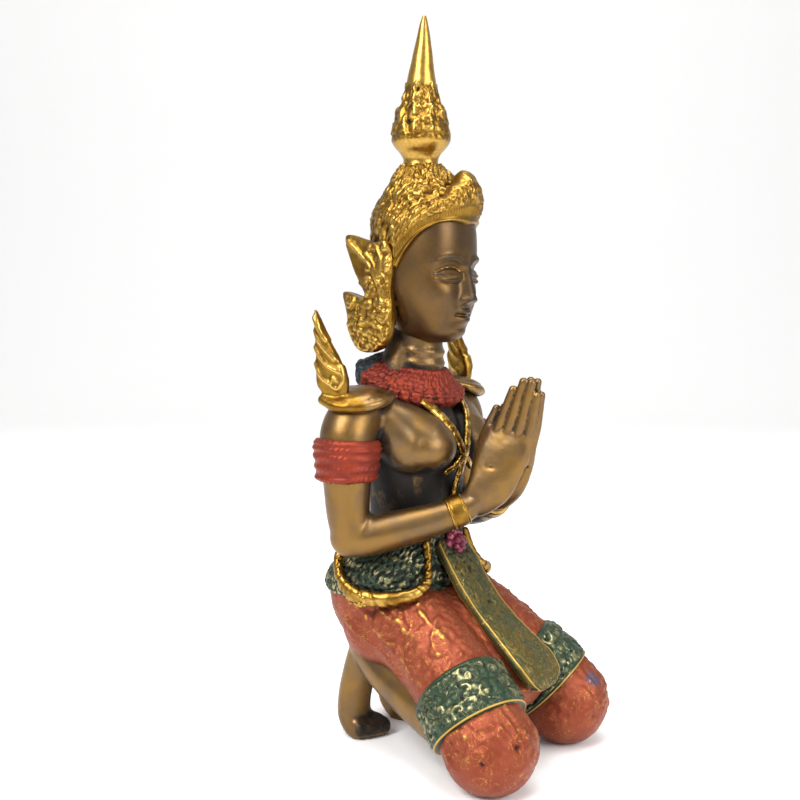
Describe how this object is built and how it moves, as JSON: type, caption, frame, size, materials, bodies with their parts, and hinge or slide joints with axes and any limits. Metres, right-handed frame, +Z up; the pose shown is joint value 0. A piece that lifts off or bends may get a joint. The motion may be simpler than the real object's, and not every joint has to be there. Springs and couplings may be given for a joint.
{
  "type": "thepphanom angel statue",
  "caption": "Kneeling Thai angel figure with joined palms, tall crown, ear flames and pointed epaulettes, cast bronze with painted dress.",
  "frame": {"origin": "middle of the bounding box on the ground, between the knees and the feet", "axes": "+Z up along the figure, -Y the way it faces, +X its left hand side"},
  "size_m": [0.0848, 0.0827, 0.2299],
  "materials": {
    "thepphanom_figure": "satin bronze with dark patina, gilt jewels and rubbed red and green paint"
  },
  "bodies": {
    "root": {"thepphanom_figure": "thepphanom_figure"}
  },
  "joints": []
}
